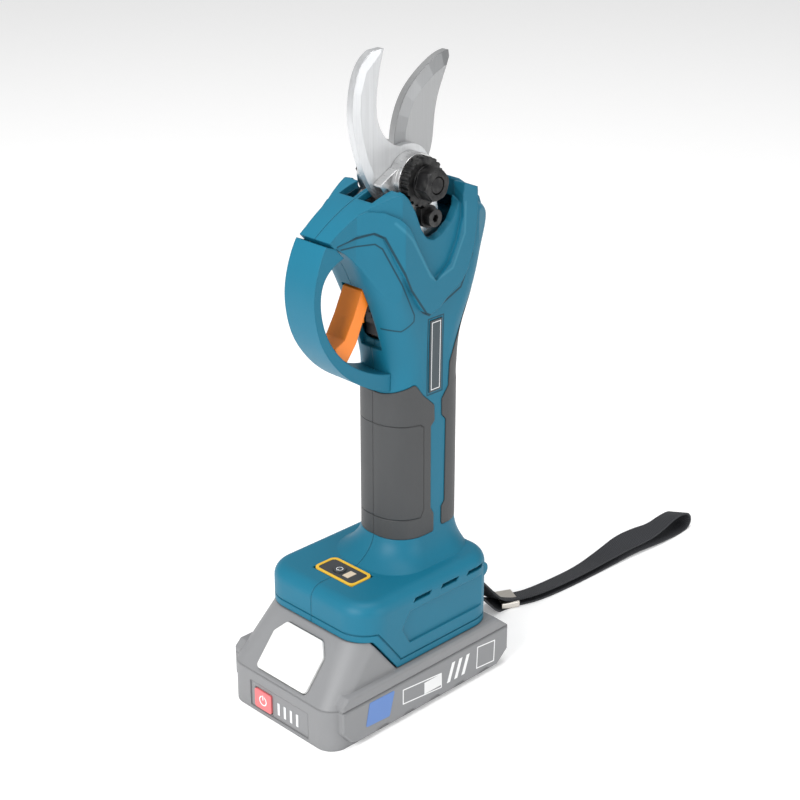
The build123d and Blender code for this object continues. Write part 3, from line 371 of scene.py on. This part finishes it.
finish_of["zinc"] = ground_steel("turned_steel", (0.55, 0.55, 0.56), 0.35, 0)
finish_of["cast"] = ground_steel("machined_collar", (0.72, 0.72, 0.72), 0.30, 1, stretch=8.0)
finish_of["nickel"] = ground_steel("nickel_crimp", (0.72, 0.68, 0.62), 0.32, 0)
finish_of["copper"] = ground_steel("copper", (0.80, 0.45, 0.25), 0.35, 2)


# %% [markdown]
# ## Ground bevels
# Both blades have a ground bevel on the near face: a narrow one down the back
# of the hook, and a wide one behind the moving blade's cutting edge. A bevel
# is a flat facet, so its slope is a ramp from the edge line that the bump
# node turns into a tilted normal. The facet is ground across its width, and
# its colour is drawn darker than the blade face, as painted shade.

# %% Blades
HOOK_BACK = [
    (-4, 308), (-12, 301.4), (-15.8, 291), (-16.6, 282), (-15.2, 271), (-12, 260), (-7.2, 250), (1, 240.5),
]
CUTTING_EDGE = [
    (44.6, 299.8), (40, 299), (32, 295.4), (24, 290), (18, 284), (14, 276), (12, 269), (11.4, 262),
]


def blade(name, colour, edge, width, slope, facet_shade_colour, face):
    """Ground steel with a bevel of some width in millimetres along an edge, drawn darker as painted shade."""
    shop = Shop(name)
    near = shop.axes()[1].math("LESS_THAN", face)
    gap = shop.distance(edge)
    bevel = gap.math("LESS_THAN", width) * near
    ramp = gap.math("MINIMUM", width) * slope * near
    scratches = shop.noise(shop.place((1, 1, 0.02)), 0.0008, 4.0, 0.7)
    cloud = shop.noise(shop.place(), 0.012, 3.0)
    tint = shop.blend(scratches, [c * 0.82 for c in colour], [min(1, c * 1.12) for c in colour])
    # Painted shade: the bevel facet is drawn darker than the blade face.
    shaded_facet_tint = shop.blend(scratches, [c * 0.85 for c in facet_shade_colour], [min(1, c * 1.1) for c in facet_shade_colour])
    normal = shop.bump(ramp, 0.001, 1.0, shop.soft_edges(0.0003))
    normal = shop.bump(scratches, 0.000012, 0.6, normal)
    rough = scratches * 0.2 + cloud * 0.08 + 0.30
    return shop.finish(Base_Color=shop.blend(bevel, tint, shaded_facet_tint), Metallic=0.9, Roughness=rough, Normal=normal)


# Each facet colour is a painted shade of its blade's colour.
finish_of["steel"] = blade(
    "hook_steel", (0.66, 0.67, 0.68), HOOK_BACK, width=4.4, slope=0.27, facet_shade_colour=(0.62, 0.63, 0.64), face=-5.0
)
cutting_steel = blade(
    "cutting_steel", (0.44, 0.445, 0.45), CUTTING_EDGE, width=6.5, slope=0.49, facet_shade_colour=(0.30, 0.305, 0.31), face=-1.2
)

# %% [markdown]
# ## Black oxide
# The lock wheel, nut and screw are blackened steel: nearly black, oily, with
# bare metal showing faintly through on worn spots.

# %% Black oxide
def black_oxide():
    """Blackened steel with a slight oil film."""
    shop = Shop("black_oxide")
    spot = shop.place()
    wear = shop.noise(spot, 0.004, 4.0).math("MULTIPLY_ADD", 2.2, -0.9, clamp=True)
    tint = shop.blend(wear, (0.020, 0.020, 0.021), (0.085, 0.084, 0.082))
    normal = shop.bump(shop.noise(spot, 0.0006, 3.0), 0.00003, 0.6, shop.soft_edges(0.0004))
    return shop.finish(Base_Color=tint, Metallic=0.75, Roughness=wear * 0.1 + 0.34, Normal=normal)


finish_of["black_steel"] = black_oxide()

# %% [markdown]
# ## Webbing
# The strap is woven polyester tape. Its pattern follows the tape, so it reads
# the UV map of the strap piece: U runs along the tape and V across it.

# %% Webbing
TAPE_WIDTH = 0.012
TAPE_LENGTH = 0.408
TAPE_THICKNESS = 0.0010


def webbing():
    """Woven tape with a herringbone of ribs."""
    shop = Shop("woven_tape")
    tape = shop.node("ShaderNodeTexCoord", {}, {}, "UV")
    split = shop.tree.nodes.new("ShaderNodeSeparateXYZ")
    shop.feed(split.inputs[0], tape)
    along = Wire(shop, split.outputs[0]) * TAPE_LENGTH
    across = Wire(shop, split.outputs[1]) * TAPE_WIDTH
    ribs = (across * (2 * math.pi / 0.0009)).math("SINE")
    picks = ((along + across.math("PINGPONG", 0.0018) * 0.5) * (2 * math.pi / 0.0011)).math("SINE")
    weave = (ribs * 0.5 + 0.5) * (picks * 0.5 + 0.5)
    fuzz = shop.noise(shop.place(), 0.0008, 3.0)
    tint = shop.blend(weave, (0.012, 0.013, 0.016), (0.045, 0.048, 0.056))
    normal = shop.bump(weave + fuzz * 0.3, 0.00012, 0.8)
    return shop.finish(Base_Color=tint, Roughness=fuzz * 0.1 + 0.72, Normal=normal)


finish_of["webbing"] = webbing()

# %% [markdown]
# ## Printed signs
# The two push buttons carry the usual on and off sign, a ring with a bar in
# its gap. The name plates are left without a name: only a thin white outline.

# %% Buttons and name plate
def sign(name, colour, ink, first, second, centre, size):
    """Plastic with a ring-and-bar sign on two of the three axes."""
    shop = Shop(name)
    axes = shop.axes()
    side = (axes[first] - centre[0]) / size
    up = (axes[second] - centre[1]) / size
    radius = (side * side + up * up).math("SQRT")
    ring = window(radius, 0.78, 1.0) * (1 - window(side, -0.32, 0.32) * up.math("GREATER_THAN", 0))
    bar = window(side, -0.11, 0.11) * window(up, 0.15, 1.15)
    cloud = shop.noise(shop.place(), 0.004, 3.0)
    tint = shop.blend(cloud, [c * 0.95 for c in colour], [min(1, c * 1.05) for c in colour])
    normal = shop.bump(shop.noise(shop.place(), 0.0004, 2.0), 0.00003, 0.5, shop.soft_edges(0.0004))
    tint = shop.blend(ring.math("MAXIMUM", bar), tint, ink)
    return shop.finish(Base_Color=tint, Roughness=cloud * 0.08 + 0.36, Normal=normal)


def plate():
    """Dark plate with a white line just inside its edge."""
    shop = Shop("name_plate")
    x, y, z = shop.axes()
    middle = ((x - 21.4).math("ABSOLUTE") - 2.3).math("MAXIMUM", (z - 167.0).math("ABSOLUTE") - 16.0)
    line = window(middle, 0.15, 0.55)
    cloud = shop.noise(shop.place(), 0.01, 3.0)
    tint = shop.blend(cloud, (0.030, 0.045, 0.055), (0.040, 0.058, 0.070))
    tint = shop.blend(line, tint, (0.75, 0.76, 0.77))
    normal = shop.bump(shop.noise(shop.place(), 0.0005, 2.0), 0.00003, 0.5, shop.soft_edges(0.0003))
    return shop.finish(Base_Color=tint, Roughness=cloud * 0.08 + 0.40, Normal=normal)


own_finish = {
    "moving_blade": cutting_steel,
    "power_button": sign("power_button", (0.035, 0.038, 0.042), (0.78, 0.79, 0.80), 1, 0, (2.2, -21.0), -1.7),
    "gauge_button": sign("gauge_button", (0.72, 0.16, 0.17), (0.85, 0.85, 0.84), 1, 2, (11.0, 8.0), 2.6),
    "name_plate_right": plate(),
}
own_finish["name_plate_left"] = own_finish["name_plate_right"]

# %% [markdown]
# ## Finishes on the CAD pieces
# The record says which material slot each CAD piece has. A few pieces have a
# finish of their own.

# %% Paint the CAD pieces
for part in frame["record"]["subparts"]:
    piece = nodes[part["node"]]
    piece.data.materials.clear()
    piece.data.materials.append(own_finish.get(part["node"], finish_of[part["material_slot"]]))
print(len(nodes), "pieces painted")

# %% [markdown]
# ## Wrist strap
# The strap is one length of tape. It starts in the crimp, runs out along the
# floor, turns back on itself in an open loop, comes back on top, passes the
# crimp again and goes round the pin in the housing. A flat grid follows a
# smooth curve, because tape bends easily across its face and hardly at all
# within it.

# %% Path of the tape
TAPE_POINTS = [
    (96.5, 0.7, 1.0, 0),
    (104, -2.6, 0.9, 0),
    (114, -5.0, 0.85, 0),
    (132, -6.6, 0.85, 0),
    (150, -7.2, 0.85, 0),
    (168, -8.0, 2.4, 12),
    (181, -9.2, 4.6, 30),
    (194, -10.6, 4.6, 30),
    (207, -11.2, 2.4, 8),
    (220, -11.0, 0.85, 0),
    (229, -10.2, 0.9, 0),
    (232.2, -9.8, 4.6, 0),
    (229, -9.4, 8.8, 0),
    (219, -9.4, 9.2, 0),
    (207, -9.8, 7.0, -8),
    (194, -9.6, 7.0, -30),
    (181, -8.2, 6.8, -30),
    (168, -7.2, 4.4, -12),
    (150, -6.8, 2.5, 0),
    (132, -6.2, 2.4, 0),
    (114, -4.6, 2.4, 0),
    (104, -2.4, 2.4, 0),
    (95, 1.2, 2.6, 0),
    (86.5, 1.6, 6.0, 0),
    (76, 0.4, 16.4, 0),
    (64, 0, 29.8, 0),
    (55.2, 0, 40.4, 0),
    (51.6, 0, 43.6, 0),
    (48.0, 0, 42.0, 0),
    (48.2, 0, 38.6, 0),
    (52.6, 0, 34.8, 0),
    (62, 0, 25.6, 0),
    (74, 0.4, 13.2, 0),
    (83, 1.6, 3.6, 0),
    (89, 2.6, 0.95, 0),
    (96.5, 0.7, 1.0, 0),
]
path = bpy.data.curves.new("tape_path", "CURVE")
path.dimensions = "3D"
path.twist_mode = "MINIMUM"
path.resolution_u = 16
line = path.splines.new("NURBS")
line.points.add(len(TAPE_POINTS) - 1)
for point, (x, y, z, tilt) in zip(line.points, TAPE_POINTS):
    point.co = (x * MM, y * MM, z * MM, 1)
    point.tilt = math.radians(tilt)
line.order_u = 3
line.use_endpoint_u = True
path.use_stretch = True
path.use_deform_bounds = True
route = bpy.data.objects.new("tape_path", path)
bpy.context.scene.collection.objects.link(route)
tape_length = line.calc_length()
print("tape is", round(tape_length, 4), "m long")

# %% Tape
nothing_selected()
bpy.ops.mesh.primitive_grid_add(x_subdivisions=420, y_subdivisions=6, size=1.0)
tape = bpy.context.object
tape.scale = (tape_length, TAPE_WIDTH, 1)
bpy.ops.object.transform_apply(location=False, rotation=False, scale=True)
bend = tape.modifiers.new("bend", "CURVE")
bend.object = route
bend.deform_axis = "POS_X"
bpy.ops.object.modifier_apply(modifier="bend")
cloth = tape.modifiers.new("cloth", "SOLIDIFY")
cloth.thickness = TAPE_THICKNESS
cloth.offset = 0.0
bpy.ops.object.modifier_apply(modifier="cloth")
bpy.ops.object.shade_smooth_by_angle(angle=math.radians(50))
settle(tape, "wrist_strap", "tool")
tape.data.materials.append(finish_of["webbing"])
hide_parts("strap_webbing")
bpy.data.objects.remove(route)

# %% [markdown]
# ## Crimp
# A sleeve of nickel-plated sheet is pressed round both layers. It is a box
# open at both ends, with rounded corners, turned to follow the tape.

# %% Crimp
nothing_selected()
CRIMP_PLACE = (0.0955, 0.0012, 0.0019)
CRIMP_TURN = (0, 0, math.radians(-26))
bpy.ops.mesh.primitive_cube_add(size=1.0, location=CRIMP_PLACE, rotation=CRIMP_TURN)
crimp = bpy.context.object
crimp.scale = (0.0098, 0.0138, 0.0036)
bpy.ops.object.transform_apply(location=False, rotation=False, scale=True)
bpy.ops.object.mode_set(mode="EDIT")
shape = bmesh.from_edit_mesh(crimp.data)
ends = [face for face in shape.faces if abs(face.normal.x) > 0.9]
bmesh.ops.delete(shape, geom=ends, context="FACES_ONLY")
corners = [edge for edge in shape.edges if abs((edge.verts[0].co - edge.verts[1].co).normalized().x) > 0.9]
bmesh.ops.bevel(shape, geom=corners, offset=0.0009, segments=4, profile=0.5, affect="EDGES")
bmesh.update_edit_mesh(crimp.data)
bpy.ops.object.mode_set(mode="OBJECT")
wall = crimp.modifiers.new("wall", "SOLIDIFY")
wall.thickness = 0.00035
wall.offset = -1.0
bpy.ops.object.modifier_apply(modifier="wall")
bpy.ops.object.shade_smooth_by_angle(angle=math.radians(40))
settle(crimp, "strap_sleeve", "tool")
crimp.data.materials.append(finish_of["nickel"])
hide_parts("strap_crimp")

# %% [markdown]
# ## Light and camera
# A plain pale floor and three large soft lights, as in a product studio: the
# key in front of the trigger side, a weaker fill from the near side, and one
# straight above. The floor glows a little, so that it stays white far away.

# %% Stage
nothing_selected()
bpy.ops.mesh.primitive_plane_add(size=6.0, location=(0, 0, 0))
floor = bpy.context.object
floor.name = "floor"
paper = Shop("paper_floor")
floor_noise = paper.noise(paper.place(), 0.02, 2.0)
floor.data.materials.append(
    paper.finish(
        Base_Color=paper.blend(floor_noise, (0.86, 0.86, 0.86), (0.88, 0.88, 0.88)),
        Roughness=0.9,
        Emission_Color=(1, 1, 1, 1),
        Emission_Strength=0.2,
    )
)


def soft_light(name, place, aim, size, power):
    """Large area light aimed at a point."""
    lamp = bpy.data.lights.new(name, "AREA")
    lamp.shape = "DISK"
    lamp.size = size
    lamp.energy = power
    holder = bpy.data.objects.new(name, lamp)
    bpy.context.scene.collection.objects.link(holder)
    holder.location = place
    holder.rotation_euler = (Vector(aim) - Vector(place)).to_track_quat("-Z", "Y").to_euler()


MIDDLE = (0.0, 0.0, 0.15)
soft_light("key", (-1.4, -0.15, 0.9), MIDDLE, 0.9, 20)
soft_light("fill", (0.3, -1.5, 0.6), MIDDLE, 1.0, 7)
soft_light("top", (0.0, 0.0, 1.8), MIDDLE, 1.0, 16)

world = bpy.data.worlds.new("studio")
bpy.context.scene.world = world
world.use_nodes = True
world.node_tree.nodes["Background"].inputs["Color"].default_value = (1, 1, 1, 1)
world.node_tree.nodes["Background"].inputs["Strength"].default_value = 0.48

# %% Camera
FILM_WIDTH = 36.0
FOCAL_LENGTH = 78.975
AZIMUTH = math.radians(44.62)
ELEVATION = math.radians(23.82)
DISTANCE = 0.737
TARGET = Vector((-0.0314, -0.0484, 0.1709))
lens = bpy.data.cameras.new("camera")
lens.sensor_width = FILM_WIDTH
lens.lens = FOCAL_LENGTH
camera = bpy.data.objects.new("camera", lens)
bpy.context.scene.collection.objects.link(camera)
level = math.cos(ELEVATION)
away = Vector((-math.sin(AZIMUTH) * level, -math.cos(AZIMUTH) * level, math.sin(ELEVATION)))
camera.location = TARGET + away * DISTANCE
camera.rotation_euler = (-away).to_track_quat("-Z", "Y").to_euler()
lens.clip_start = 0.01
bpy.context.scene.camera = camera
bpy.context.scene.view_settings.view_transform = "Standard"
print("camera at", tuple(round(v, 3) for v in camera.location))
